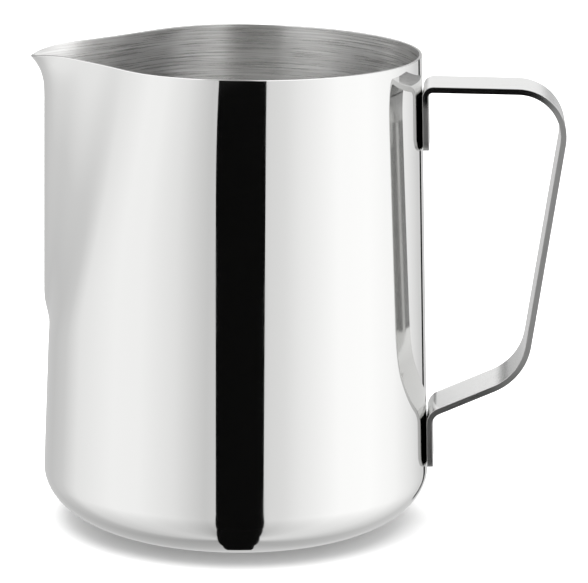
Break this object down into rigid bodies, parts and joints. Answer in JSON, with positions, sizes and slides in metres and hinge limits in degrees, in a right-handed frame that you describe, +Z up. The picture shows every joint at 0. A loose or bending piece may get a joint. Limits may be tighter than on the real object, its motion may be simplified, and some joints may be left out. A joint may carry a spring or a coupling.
{
  "type": "milk frothing pitcher",
  "caption": "Free-standing stainless steel milk frothing jug: tapered mirror-polished body with a pressed pouring spout and a spot-welded flat-strip handle.",
  "frame": {"origin": "centre of the flat base that the pitcher stands on", "axes": "+Z up; the handle is at +X and the spout at -X, so X is the pitcher's length; Y is across it"},
  "size_m": [0.142, 0.104, 0.1274],
  "materials": {
    "mirror_steel": "mirror-polished stainless steel outside, satin inside",
    "strap_steel": "polished stainless steel strip with satin cut edges",
    "weld_steel": "fused spot-weld metal"
  },
  "bodies": {
    "root": {"pitcher_body": "mirror_steel", "handle_strap": "strap_steel", "spot_weld_upper_high": "weld_steel", "spot_weld_upper_low": "weld_steel", "spot_weld_lower_high": "weld_steel", "spot_weld_lower_low": "weld_steel"}
  },
  "joints": []
}
